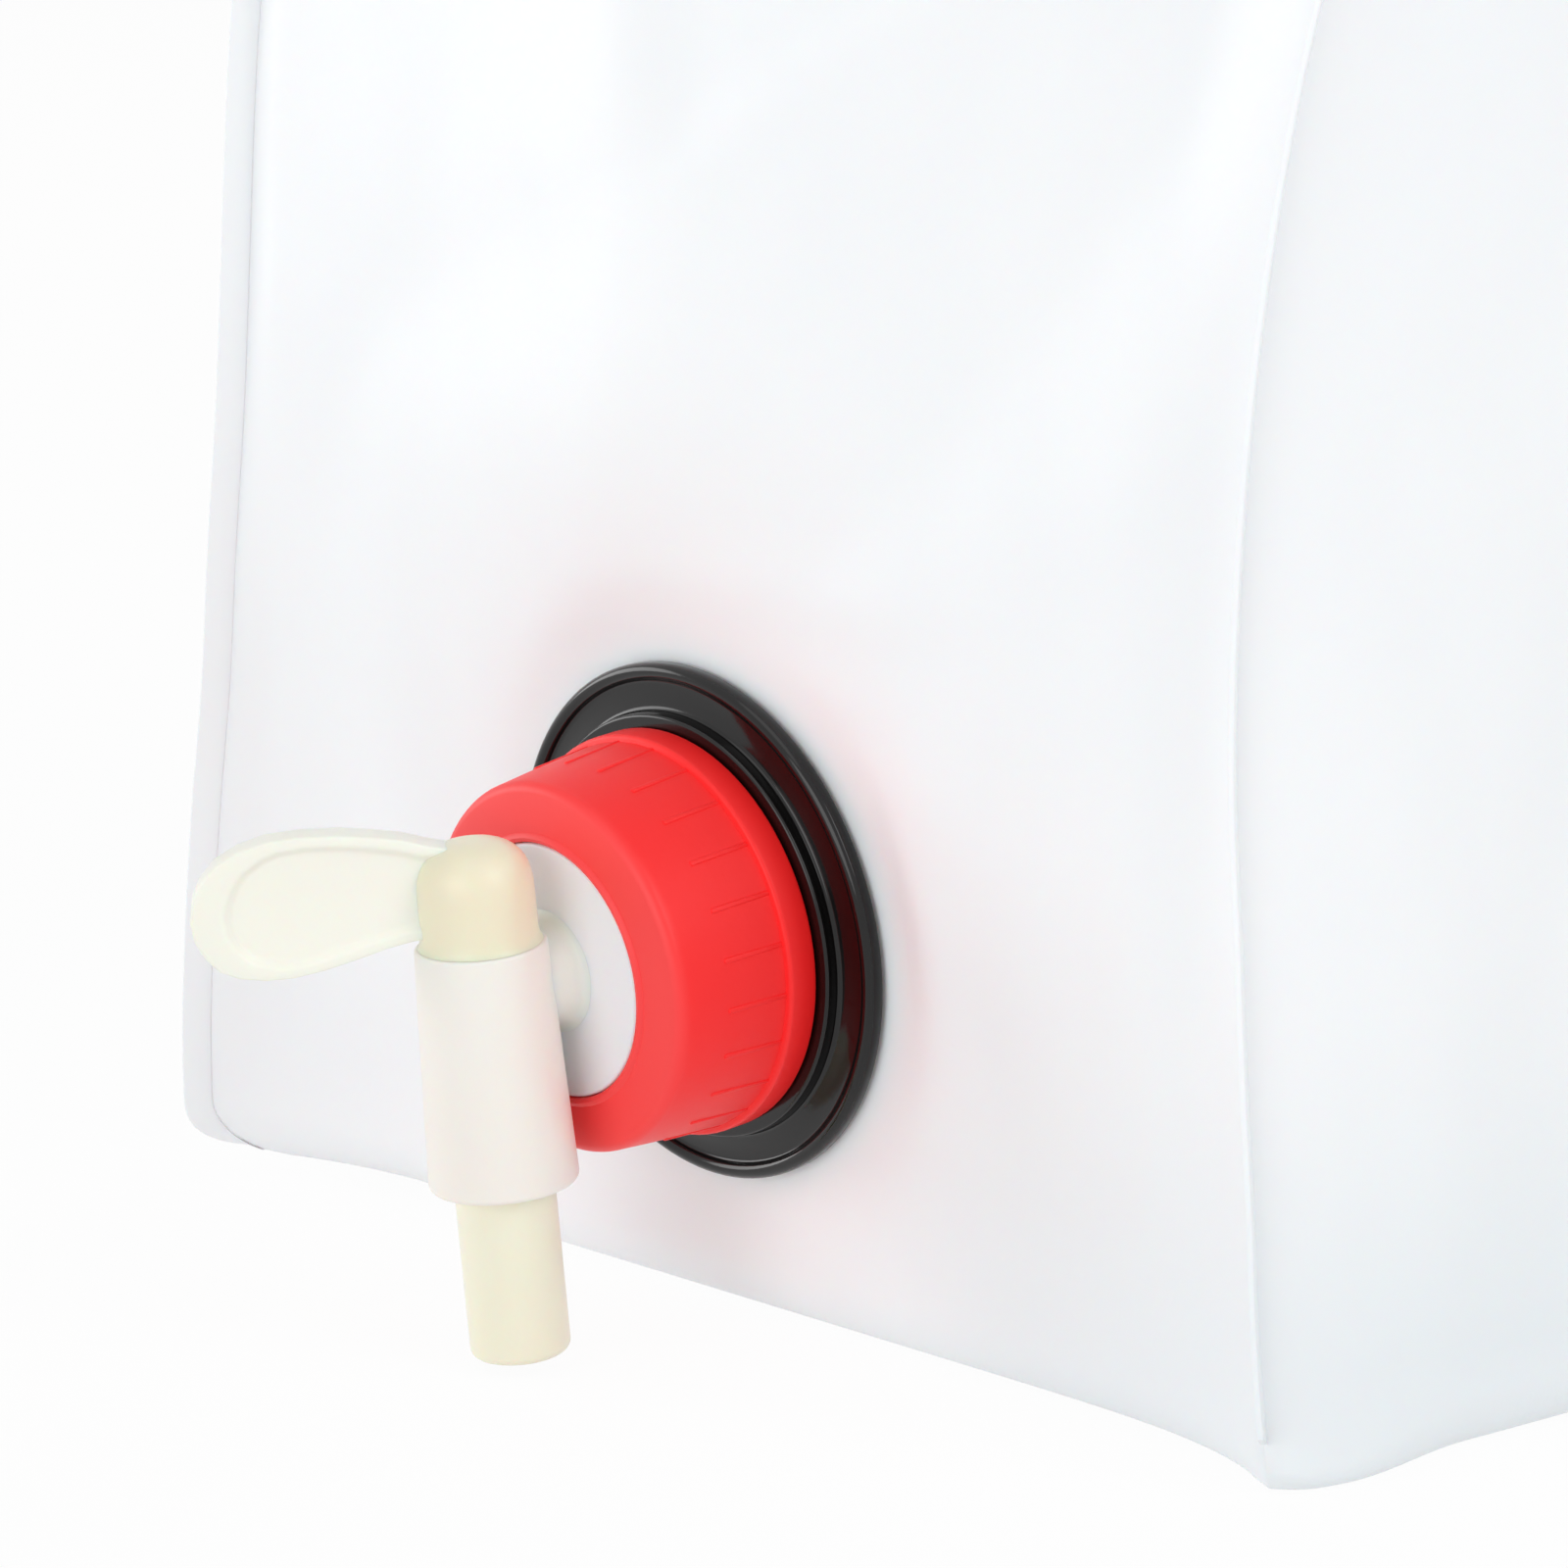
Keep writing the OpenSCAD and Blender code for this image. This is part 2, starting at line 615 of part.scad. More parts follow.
module lever_plug() {
    nozzle_round = 1.2;
    color("#efe9cf") at_tap() rotate([0, 0, 180 + lever_angle]) difference() {
        union() {
            difference() {
                rotate_extrude() polygon(concat(
                    [[0, nozzle_end]],
                    arc([plug_r - nozzle_round, nozzle_end + nozzle_round], nozzle_round, 270, 360),
                    [[plug_r, hub_base + 1], [0, hub_base + 1]]));
                ring(plug_r + 1, plug_r - snap_depth - slide_fit, snap_z - seat, snap_z + snap_h + seat);
                for (z = [upper_ring_z, lower_ring_z])
                    ring(plug_r + 1, groove_r, z - groove_h / 2, z + groove_h / 2);
            }
            translate([0, 0, hub_base]) rotate_extrude() {
                square([hub_r, hub_h - hub_round]);
                square([hub_r - hub_round, hub_h]);
                intersection() {
                    translate([hub_r - hub_round, hub_h - hub_round]) circle(r = hub_round);
                    square([hub_r, hub_h]);
                }
            }
            lever();
        }
        translate([0, 0, nozzle_end - 1]) cylinder(r = outlet_r, h = outlet_depth + 1);
        translate([0, 0, nozzle_end]) cylinder(r = flow_r, h = port_r - nozzle_end);
        rotate([0, -90, 0]) cylinder(r = port_r, h = plug_r + 1);
    }
}

module o_ring(z) {
    color("#202020") at_tap() translate([0, 0, z]) rotate_extrude()
        translate([plug_r + slide_fit - seal_fit - o_ring_t / 2, 0]) circle(r = o_ring_t / 2);
}

module upper_o_ring() {
    o_ring(upper_ring_z);
}

module lower_o_ring() {
    o_ring(lower_ring_z);
}

// ---------- handle ----------

// The front half: its foot lies on the film, its loop meets the other half
module handle_half() {
    difference() {
        slab(handle_w, handle_low, handle_high, -handle_t, -touch, corner_r);
        slab(handle_w - 2 * grip_side, gap_low, gap_high, -handle_t - 1, 1, corner_r);
        translate([-handle_w, -seam_half - touch, handle_low - 1])
            cube([2 * handle_w, handle_t, seam_z + band_h + free - handle_low + 1]);
    }
}

module handle_front() {
    color("#1b1b1b") {
        handle_half();
        each_pin() translate([0, 0, -handle_t + 1]) cylinder(r = pin_r, h = handle_t + 1);
    }
}

module handle_back() {
    color("#1b1b1b") difference() {
        mirror([0, 1, 0]) handle_half();
        each_pin() translate([0, 0, -handle_t - 1]) cylinder(r = pin_r + touch, h = handle_t + 1);
    }
}

front_panel();
back_panel();
left_side_panel();
right_side_panel();
bottom_panel();
spout_neck();
inner_film_gasket();
outer_film_gasket();
outer_flange();
mouth_gasket();
ring_nut();
tap_body();
lever_plug();
upper_o_ring();
lower_o_ring();
handle_front();
handle_back();
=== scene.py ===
# %% [markdown]
# # A film container with a lever tap
# This lesson dresses a container for liquid detergent: a soft frosted bag that stands on its own,
# with a black clamping flange, a red ring nut and a white tap with a cream lever. The solids come
# from the CAD frame. They give every size, and the scene adds the soft shapes and the finishes.

# %% Load the frame
import bisect
import math
import bpy
from mathutils import Matrix, Vector, noise


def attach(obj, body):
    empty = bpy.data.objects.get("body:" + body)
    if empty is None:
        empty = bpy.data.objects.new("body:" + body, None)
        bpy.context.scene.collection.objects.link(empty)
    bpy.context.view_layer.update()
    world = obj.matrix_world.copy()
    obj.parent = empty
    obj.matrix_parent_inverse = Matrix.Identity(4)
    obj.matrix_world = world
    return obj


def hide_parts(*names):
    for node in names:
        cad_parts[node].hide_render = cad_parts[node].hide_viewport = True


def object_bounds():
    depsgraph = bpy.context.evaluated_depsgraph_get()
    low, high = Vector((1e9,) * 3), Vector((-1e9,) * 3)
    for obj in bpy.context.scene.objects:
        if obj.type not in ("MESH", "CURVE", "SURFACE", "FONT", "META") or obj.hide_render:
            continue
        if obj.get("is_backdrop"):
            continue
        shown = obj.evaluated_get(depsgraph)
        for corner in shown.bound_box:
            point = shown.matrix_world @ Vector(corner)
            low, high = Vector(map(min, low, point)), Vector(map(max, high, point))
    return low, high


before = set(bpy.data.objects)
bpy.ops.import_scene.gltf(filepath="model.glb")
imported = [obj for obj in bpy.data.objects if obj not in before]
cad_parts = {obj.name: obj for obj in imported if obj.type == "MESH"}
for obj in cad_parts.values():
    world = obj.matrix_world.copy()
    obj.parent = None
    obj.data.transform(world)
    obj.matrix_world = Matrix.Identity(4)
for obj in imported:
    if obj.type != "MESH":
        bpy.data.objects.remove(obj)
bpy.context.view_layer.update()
bpy.ops.object.select_all(action="DESELECT")
MM = 0.001

# %% [markdown]
# ## The camera
# A long lens from one metre away keeps the edges of the base nearly parallel. It stands level, a
# little above the mouth, and looks at the container from its right front corner.

# %% Camera
AIM = Vector((16.71, -87.7, 82.75)) * MM
AZIMUTH, ELEVATION, DISTANCE = math.radians(48.57), math.radians(11.29), 0.9737
back = Vector((math.sin(AZIMUTH) * math.cos(ELEVATION), -math.cos(AZIMUTH) * math.cos(ELEVATION),
               math.sin(ELEVATION)))
bpy.ops.object.camera_add(location=AIM + back * DISTANCE,
                          rotation=(-back).to_track_quat("-Z", "Y").to_euler())
camera = bpy.context.object
camera.data.sensor_width = 36
camera.data.lens = 157.5
camera.data.clip_end = 20
bpy.context.scene.camera = camera
bpy.context.scene.view_settings.view_transform = "Standard"
print("camera at", [round(c, 3) for c in camera.location])

# %% [markdown]
# ## The studio
# Pale, soft things need soft light and a white surround. The world lights everything evenly. A
# large lamp low on the left grazes the front and models its folds. The others open up the shade on
# the front, the right side, the top and the back. The floor shines a little, as a lit white table
# does. It shows white to the camera but still takes a faint shadow, which keeps the bag on the
# ground.

# %% World, lamps and floor
def node(tree, kind, **sockets):
    """Add a shader node and set its sockets. Underscores stand for the blanks in their names."""
    made = tree.nodes.new(kind)
    for name, value in sockets.items():
        made.inputs[name.replace("_", " ")].default_value = value
    return made


world = bpy.data.worlds.new("studio")
bpy.context.scene.world = world
world.use_nodes = True
tree = world.node_tree
tree.nodes.clear()
path = node(tree, "ShaderNodeLightPath")
seen = tree.nodes.new("ShaderNodeMath")
seen.operation = "MAXIMUM"
through = tree.nodes.new("ShaderNodeMath")
through.operation = "MAXIMUM"
tree.links.new(path.outputs["Is Camera Ray"], seen.inputs[0])
tree.links.new(path.outputs["Is Glossy Ray"], seen.inputs[1])
tree.links.new(seen.outputs[0], through.inputs[0])
tree.links.new(path.outputs["Is Transmission Ray"], through.inputs[1])
fill = node(tree, "ShaderNodeBackground", Color=(0.97, 0.985, 1, 1), Strength=0.42)
white = node(tree, "ShaderNodeBackground", Color=(1, 1, 1, 1), Strength=1.0)
mix = tree.nodes.new("ShaderNodeMixShader")
out = tree.nodes.new("ShaderNodeOutputWorld")
tree.links.new(through.outputs[0], mix.inputs[0])
tree.links.new(fill.outputs[0], mix.inputs[1])
tree.links.new(white.outputs[0], mix.inputs[2])
tree.links.new(mix.outputs[0], out.inputs[0])


LAMP_TARGET = Vector((0, 0, 0.15))


def lamp(name, place, size, watts):
    """Add a round white lamp that looks at the middle of the bag."""
    bpy.ops.object.light_add(type="AREA", location=place)
    made = bpy.context.object
    made.name = name
    made.data.shape = "DISK"
    made.data.size = size
    made.data.energy = watts
    made.rotation_euler = (LAMP_TARGET - Vector(place)).to_track_quat("-Z", "Y").to_euler()


lamp("key", (-3.4, -1.85, 0.7), 2.2, 37.5)
lamp("front", (0.5, -2.2, 0.4), 1.8, 17.5)
lamp("side", (1.2, 0.05, 0.85), 0.9, 6.2)
lamp("top", (0.1, -1.4, 2.2), 1.6, 5)
lamp("behind", (-0.7, 2.2, 1.0), 1.6, 14)

# %% Floor
bpy.ops.mesh.primitive_plane_add(size=8, location=(0, 0, 0))
floor = bpy.context.object
floor.name = "floor"
paint = bpy.data.materials.new("white_floor")
paint.use_nodes = True
tree = paint.node_tree
tree.nodes.clear()
path = node(tree, "ShaderNodeLightPath")
seen = tree.nodes.new("ShaderNodeMath")
seen.operation = "MAXIMUM"
tree.links.new(path.outputs["Is Camera Ray"], seen.inputs[0])
tree.links.new(path.outputs["Is Glossy Ray"], seen.inputs[1])
matt = node(tree, "ShaderNodeBsdfDiffuse", Color=(0.9, 0.9, 0.9, 1))
glow = node(tree, "ShaderNodeEmission", Color=(1, 1, 1, 1), Strength=1.0)
share = tree.nodes.new("ShaderNodeMath")
share.operation = "MULTIPLY"
share.inputs[1].default_value = 0.95
lit = tree.nodes.new("ShaderNodeMath")
lit.operation = "MAXIMUM"
lit.inputs[1].default_value = 0.3
mix = tree.nodes.new("ShaderNodeMixShader")
out = tree.nodes.new("ShaderNodeOutputMaterial")
tree.links.new(seen.outputs[0], share.inputs[0])
tree.links.new(share.outputs[0], lit.inputs[0])
tree.links.new(lit.outputs[0], mix.inputs[0])
tree.links.new(matt.outputs[0], mix.inputs[1])
tree.links.new(glow.outputs[0], mix.inputs[2])
tree.links.new(mix.outputs[0], out.inputs[0])
floor.data.materials.append(paint)
floor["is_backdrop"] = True
print("floor laid")

# %% [markdown]
# ## The mouth
# The heavy tap tips the mouth of the bag a few degrees forward. Nut, tap and flange all stand on
# this tipped axis, so its place and direction are written down once.

# %% Place and axis of the mouth
MOUTH_Z, MOUTH_FACE, DROOP = 60.5, 87.7, math.radians(6.4)
NOSE = Vector((0, -math.cos(DROOP), -math.sin(DROOP)))
MOUTH = Vector((0, -MOUTH_FACE, MOUTH_Z)) * MM
MOUTH_PLACE = Matrix.Translation(MOUTH) @ Matrix.Rotation(math.pi / 2 + DROOP, 4, "X")
print("the axis tips forward by", round(math.degrees(DROOP), 1), "degrees")

# %% [markdown]
# ## Finishes
# Every finish is a Principled shader whose roughness and bump vary over the surface. A helper
# builds one from a few numbers: a noise that shifts the colour slightly, and a finer one for the
# grain. A second tone can be brought in along one direction. On the film it is painted shade: the
# film is painted darker and bluer towards its foot and its lower right, where less light reaches
# it.
# The hub gets a deeper tone than the nozzle. The front of the nut is painted paler, a painted
# sheen.

# %% Finish helper
def finish(name, color, deep, rough, grain, bump, mottle=18.0, spread=0.08, tone_and_painted_light=None, **sockets):
    """A moulded or film finish, with an optional second tone given as (direction, start, end, tone)
    in metres along the direction; on the film it is painted shade, on the nut a painted sheen.
    """
    made = bpy.data.materials.new(name)
    made.use_nodes = True
    t = made.node_tree
    shader = t.nodes["Principled BSDF"]
    place = t.nodes.new("ShaderNodeTexCoord")
    soft = node(t, "ShaderNodeTexNoise", Scale=mottle, Detail=3.0, Roughness=0.5)
    tint = t.nodes.new("ShaderNodeValToRGB")
    for stop, position, tone in zip(tint.color_ramp.elements, (0.35, 0.68), (deep, color)):
        stop.position = position
        stop.color = (*tone, 1)
    fine = node(t, "ShaderNodeTexNoise", Scale=grain, Detail=4.0, Roughness=0.6)
    dull = node(t, "ShaderNodeMapRange", To_Min=rough - spread, To_Max=rough + spread)
    rise = node(t, "ShaderNodeBump", Strength=bump, Distance=0.0002)
    t.links.new(place.outputs["Object"], soft.inputs["Vector"])
    t.links.new(place.outputs["Object"], fine.inputs["Vector"])
    t.links.new(soft.outputs["Fac"], tint.inputs["Fac"])
    t.links.new(tint.outputs["Color"], shader.inputs["Base Color"])
    t.links.new(soft.outputs["Fac"], dull.inputs["Value"])
    t.links.new(dull.outputs["Result"], shader.inputs["Roughness"])
    t.links.new(fine.outputs["Fac"], rise.inputs["Height"])
    t.links.new(rise.outputs["Normal"], shader.inputs["Normal"])
    for socket, value in sockets.items():
        shader.inputs[socket.replace("_", " ")].default_value = value
    # Second tone along one direction: painted shade on the film, a painted sheen on the nut's
    # front, a deeper tone on the hub.
    if tone_and_painted_light:
        toward, start, end, tone = tone_and_painted_light
        reach = t.nodes.new("ShaderNodeVectorMath")
        reach.operation = "DOT_PRODUCT"
        reach.inputs[1].default_value = toward
        climb = node(t, "ShaderNodeMapRange", From_Min=start, From_Max=end)
        climb.interpolation_type = "SMOOTHSTEP"
        cover = t.nodes.new("ShaderNodeMix")
        cover.data_type = "RGBA"
        cover.inputs["B"].default_value = (*tone, 1)
        t.links.new(place.outputs["Object"], reach.inputs[0])
        t.links.new(reach.outputs["Value"], climb.inputs["Value"])
        t.links.new(climb.outputs["Result"], cover.inputs["Factor"])
        t.links.new(tint.outputs["Color"], cover.inputs["A"])
        t.links.new(cover.outputs["Result"], shader.inputs["Base Color"])
    return made


# The film's second tone is painted shade: darker and bluer towards its foot and its lower right.
film = finish("frosted_film", (0.94, 0.955, 0.97), (0.92, 0.94, 0.96), 0.42, 220, 0.25, mottle=14,
              tone_and_painted_light=((0.35, 0, -1), -0.03, 0.032, (0.86, 0.9, 0.925)),
              Subsurface_Weight=0.15, Subsurface_Scale=0.01, Specular_IOR_Level=0.35)
black = finish("black_moulding", (0.004, 0.0035, 0.0035), (0.0025, 0.002, 0.002), 0.1, 500, 0.06,
               spread=0.03, Specular_IOR_Level=0.38)
# The nut's second tone is a painted sheen: the front of the nut is painted paler pink.
face_start = MOUTH.dot(NOSE)
red = finish("red_moulding", (1.0, 0.011, 0.011), (0.97, 0.008, 0.009), 0.45, 500, 0.2,
             tone_and_painted_light=(NOSE, face_start + 0.0265, face_start + 0.0292, (0.98, 0.05, 0.05)),
             Specular_IOR_Level=0.45)
MILKY = dict(Subsurface_Weight=0.3, Subsurface_Scale=0.003, Specular_IOR_Level=0.4)
white_plastic = finish("white_moulding", (0.87, 0.865, 0.895), (0.85, 0.845, 0.87), 0.36, 420, 0.2,
                       **MILKY)
ivory = finish("ivory_moulding", (0.925, 0.88, 0.82), (0.9, 0.85, 0.785), 0.36, 420, 0.2, **MILKY)
cream = finish("cream_moulding", (0.94, 0.955, 0.86), (0.92, 0.935, 0.83), 0.33, 420, 0.2, **MILKY)
hub_cream = finish("deep_cream_moulding", (0.93, 0.89, 0.72), (0.9, 0.86, 0.68), 0.3, 420, 0.2,
                   tone_and_painted_light=((0, 0, 1), 0.04, 0.06, (0.88, 0.82, 0.62)), **MILKY)
clear = finish("clear_rubber", (0.75, 0.78, 0.8), (0.7, 0.73, 0.76), 0.4, 500, 0.2)
seal = finish("black_rubber", (0.03, 0.03, 0.03), (0.02, 0.02, 0.02), 0.6, 700, 0.3)
satin = finish("satin_black_moulding", (0.02, 0.02, 0.021), (0.013, 0.013, 0.014), 0.42, 600, 0.5)


def dress(names, material):
    """Give CAD pieces a finish. Their meshes stay as they are."""
    for name in names:
        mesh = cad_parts[name].data
        mesh.materials.clear()
        mesh.materials.append(material)


dress(["front_panel", "back_panel", "left_side_panel", "right_side_panel", "bottom_panel"], film)
dress(["spout_neck"], black)
dress(["inner_film_gasket", "outer_film_gasket", "mouth_gasket"], clear)
dress(["upper_o_ring", "lower_o_ring"], seal)
dress(["handle_front", "handle_back"], satin)
print("finishes:", len(bpy.data.materials))

# %% [markdown]
# ## The shape of a filled bag
# A filled bag is a box that has gone soft. Its faces swell, its corner seams pull in, the front
# stands back at the foot and tips forward round the heavy tap, and both wide faces lean together
# into the top seam. A few formulas say all that. They repeat the sizes of the solids, so bag and
# frame agree.

# %% Formulas of the bag, in millimetres
HALF_W, HALF_D, LAP, SEAM, TOP = 117.5, 90.0, 16.0, 360.0, 386.0
SEAM_HALF, LEAN_POWER = 0.525, 3.2
FRONT_BELLY, BACK_BELLY, SIDE_BELLY, SIDE_FOOT = 5, 8, 9.5, 5
FLAT_R, BLEND, SET_FADE = 49.5, 60, 90
RIGHT_EDGE = ((0, 117.2), (10, 115.6), (24, 114.0), (40, 112.9), (58, 111.2), (75, 109.8),
              (97, 107.7), (120, 106.9), (150, 107.2), (180, 108.8), (210, 111.7), (240, 114.3),
              (290, 116.6), (360, 117.5), (386, 117.5))
LEFT_EDGE = ((0, 117.7), (20, 118.1), (33, 117.4), (45, 116.4), (60, 114.7), (80, 112.0),
             (100, 110.8), (125, 109.5), (150, 110.2), (180, 112.7), (210, 115.0), (240, 115.7),
             (290, 116.8), (360, 117.5), (386, 117.5))


def smooth(t):
    """A soft step from 0 to 1."""
    t = min(1.0, max(0.0, t))
    return t * t * (3 - 2 * t)


def curve(table, z):
    """Read a table of (height, value) rows along a smooth line through them."""
    k = max(0, min(len(table) - 2, bisect.bisect(table, (z, math.inf)) - 1))
    (z0, v0), (z1, v1) = table[k], table[k + 1]
    before, after = table[max(0, k - 1)], table[min(len(table) - 1, k + 2)]
    slope0 = (v1 - before[1]) / (z1 - before[0])
    slope1 = (after[1] - v0) / (after[0] - z0)
    t, h = (z - z0) / (z1 - z0), z1 - z0
    t = min(1.0, max(0.0, t))
    return (v0 * (1 + 2 * t) * (1 - t) ** 2 + h * slope0 * t * (1 - t) ** 2
            + v1 * t * t * (3 - 2 * t) + h * slope1 * t * t * (t - 1))


def rise(z):
    """0 at the top of the foot and 1 at the seam."""
    return min(1.0, max(0.0, (z - LAP) / (SEAM - LAP)))


def swell(z):
    """How much of its belly a face shows at this height. The belly sits low, as liquid does."""
    return math.sin(math.pi * rise(z) ** 0.6)


def level(share):
    """1 over most of a face's width and 0 at its two edges."""
    return 1 - share ** 6


def half_depth(z):
    return HALF_D - (HALF_D - SEAM_HALF) * rise(z) ** LEAN_POWER


def half_width(z, side=1):
    return curve(RIGHT_EDGE if side > 0 else LEFT_EDGE, z)


def mouth_plane(z):
    return MOUTH_FACE + (z - MOUTH_Z) * math.tan(DROOP)


FOOT_SET = HALF_D - mouth_plane(LAP)


def front_depth(x, share, z):
    """The front is flat and tipped round the mouth, and swells further out."""
    high = max(z, LAP)
    off = smooth((math.hypot(x, high - MOUTH_Z) - FLAT_R) / BLEND)
    leaned = (half_depth(high) - FOOT_SET * level(share) * (1 - smooth((high - LAP) / SET_FADE))
              + FRONT_BELLY * swell(high) * math.cos(math.pi / 2 * share) ** 2)
    return mouth_plane(high) * (1 - off) + leaned * off


def back_depth(share, z):
    return half_depth(z) + BACK_BELLY * swell(z) * math.cos(math.pi / 2 * share)


def side_width(share, z, side):
    bulge = (SIDE_FOOT * level(share) * (1 - rise(z))
             + SIDE_BELLY * swell(z) * math.cos(math.pi / 2 * share))
    return half_width(z, side) + bulge * half_depth(z) / HALF_D


print("half width 80 mm up:", round(side_width(0, 80, 1), 1),
      "front there:", round(front_depth(0, 0, 80), 1))

# %% [markdown]
# ## Tools for picking
# Edit mode works on what is selected. These helpers select edges by their direction and faces by
# their place, then leave the piece ready for the next operator.

# %% Picking helpers
def select_only(piece):
    """Leave edit mode and select this piece alone."""
    if bpy.context.object and bpy.context.object.mode != "OBJECT":
        bpy.ops.object.mode_set(mode="OBJECT")
    bpy.ops.object.select_all(action="DESELECT")
    piece.select_set(True)
    bpy.context.view_layer.objects.active = piece


def pick(piece, kind, test):
    """Enter edit mode with only the points, edges or faces that pass test(item, mesh) selected."""
    select_only(piece)
    mesh = piece.data
    for group in (mesh.vertices, mesh.edges, mesh.polygons):
        group.foreach_set("select", [False] * len(group))
    group = {"VERT": mesh.vertices, "EDGE": mesh.edges, "FACE": mesh.polygons}[kind]
    group.foreach_set("select", [bool(test(item, mesh)) for item in group])
    bpy.ops.object.mode_set(mode="EDIT")
    bpy.ops.mesh.select_mode(type=kind)


def along(axis):
    """A test for edges that run along X (0), Y (1) or Z (2)."""
    def test(edge, mesh):
        a, b = (mesh.vertices[i].co for i in edge.vertices)
        d = b - a
        return abs(d[axis]) > 0.9 * d.length
    return test


def done():
    bpy.ops.object.mode_set(mode="OBJECT")


def outward(piece):
    """Merge the points that fell together, then turn every face's front outward."""
    pick(piece, "FACE", lambda face, mesh: True)
    bpy.ops.mesh.remove_doubles(threshold=0.01 * MM)
    bpy.ops.mesh.dissolve_degenerate(threshold=0.005 * MM)
    bpy.ops.mesh.normals_make_consistent(inside=False)
    done()


def dressed(piece, material, body, angle=40):
    """Smooth a finished piece, give it its finish and let it ride on a body of the frame."""
    select_only(piece)
    bpy.ops.object.shade_smooth_by_angle(angle=math.radians(angle))
    piece.data.materials.clear()
    piece.data.materials.append(material)
    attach(piece, body)
    print(piece.name, "has", len(piece.data.polygons), "faces")


# %% [markdown]
# ## Folds
# Film shows its softness in the folds. The front has one long crease that comes down to the mouth.
# The film falls away from it to the right in a broad facet, and rises again beyond a slanting
# valley. Soft maxima and minima of slanted planes draw such facets, and a few small dents are
# listed one by one. Near the top all faces gather in shallow grooves, because the handle carries
# the weight.

# %% Folds of the film, in millimetres of relief
CREASE = ((0, -20), (94, -20.5), (122, -17.3), (136, -15.1), (157, -15.1), (175, -18.7),
          (191, -21.6), (260, -32), (386, -45))
PEAK, FULL_PEAK_Z, MID_Z = 2.7, 215, 125
LEFT_SLOPE, RIGHT_SLOPE, VALLEY_X = 0.085, 0.07, 38
WEDGE_X, WEDGE_Z, WEDGE_STEP = -3.5, 171, 1.3
GATHERS, GATHER_TOP = (-53, -33, -12, 8, 31, 52), 352
# Each dent is (x, z, its half width, its half height, how far it stands out).
DENTS = ((54, 108, 9, 8, -0.9), (52, 87, 8, 7, 1.0), (46, 64, 7, 12, 0.7), (26, 15, 12, 6, 0.7),
         (32, 112, 24, 5, 0.7), (-36, 150, 8, 12, -0.7), (-30, 166, 7, 8, 0.5),
         (78, 115, 10, 10, -0.6), (-88, 100, 16, 30, -0.8), (-62, 40, 18, 14, 0.8),
         (-92, 42, 14, 12, -0.7), (90, 60, 12, 30, 0.5))


def higher(a, b, soft):
    """The higher of two values, with a soft change from one to the other."""
    return (a + b + math.hypot(a - b, soft)) / 2


def lower(a, b, soft):
    return (a + b - math.hypot(a - b, soft)) / 2


def front_fold(x, share, z):
    """Relief of the front: two slopes beside the crease, a valley, a small step and the dents."""
    crease = curve(CREASE, z)
    peak = PEAK + 0.03 * (min(z, FULL_PEAK_Z) - MID_Z)
    left = higher(peak - LEFT_SLOPE * (crease - x), peak - 3.1 + 0.035 * max(0, -60 - x), 1.0)
    valley = lower(-1.15 + 0.07 * (x - VALLEY_X) - 0.1 * (z - MID_Z), 1.6, 1.0)
    right = higher(peak - RIGHT_SLOPE * (x - crease), valley, 0.7)
    relief = lower(left, right, 0.45)
    across = (x - WEDGE_X) * 0.553 - (z - WEDGE_Z) * 0.832
    down = (x - WEDGE_X) * 0.832 + (z - WEDGE_Z) * 0.553
    wedge = smooth((x - crease - 2) / 18) * smooth((down + 8) / 12) * (1 - smooth((z - 230) / 40))
    relief += WEDGE_STEP * (smooth((across + 5) / 9) - 1) * wedge
    for cx, cz, wide, high, height in DENTS:
        relief += height * math.exp(-((x - cx) / wide) ** 2 - ((z - cz) / high) ** 2)
    calm = smooth((math.hypot(x, z - MOUTH_Z) - 40.5) / 11)
    relief += ripple(x, z, 0.4)
    return relief * calm * kept(share, z, 0.92 if share < 0 else 0.8) + gathers(x, z)


def kept(share, z, fade):
    """How much of the relief is kept: it fades out towards the corner seams, foot and top seam."""
    across = 1 - smooth((abs(share) - fade) / (1 - fade))
    return across * smooth((z - 6) / 24) * (1 - smooth((z - 320) / 35))


def gathers(a, z):
    """Shallow grooves that fan out below the handle, which carries the whole weight."""
    below = max(0, GATHER_TOP - z)
    deep = sum(math.exp(-((a - start * (1 + below / 90)) / (4 + below / 14)) ** 2)
               for start in GATHERS)
    return -0.9 * deep * smooth((z - 225) / 80) * (1 - smooth((z - 346) / 10))


def ripple(a, z, place):
    """Slow, uneven waves that any hanging film has."""
    broad = noise.noise(Vector((a / 52, z / 75, place)))
    return 1.3 * broad + 0.35 * noise.noise(Vector((a / 17, z / 23, place + 5)))


def back_fold(x, share, z):
    return 1.3 * ripple(x, z, 7.7) * kept(share, z, 0.75) + gathers(x - 4, z)


def side_fold(y, share, z, side):
    """The sides also fold inwards along their middle, where the bag narrows to its seam."""
    gusset = 2.5 * smooth((z - 210) / 90) * math.exp(-(y / 9) ** 2)
    return (1.3 * ripple(y, z, 12 + side) - gusset) * kept(share, z, 0.75)


print("relief of the crease at 150 mm:", round(front_fold(-15, 0, 150), 2))

# %% [markdown]
# ## The bag
# The real bag is film, welded into a tent. Five plates would look like a crate, so it is one shell:
# a box is cut into a fine net, and every point of the net is then moved to its place on the filled
# bag. The lowest rings of the net roll round the soft edge of the base, and the corners stay sharp.

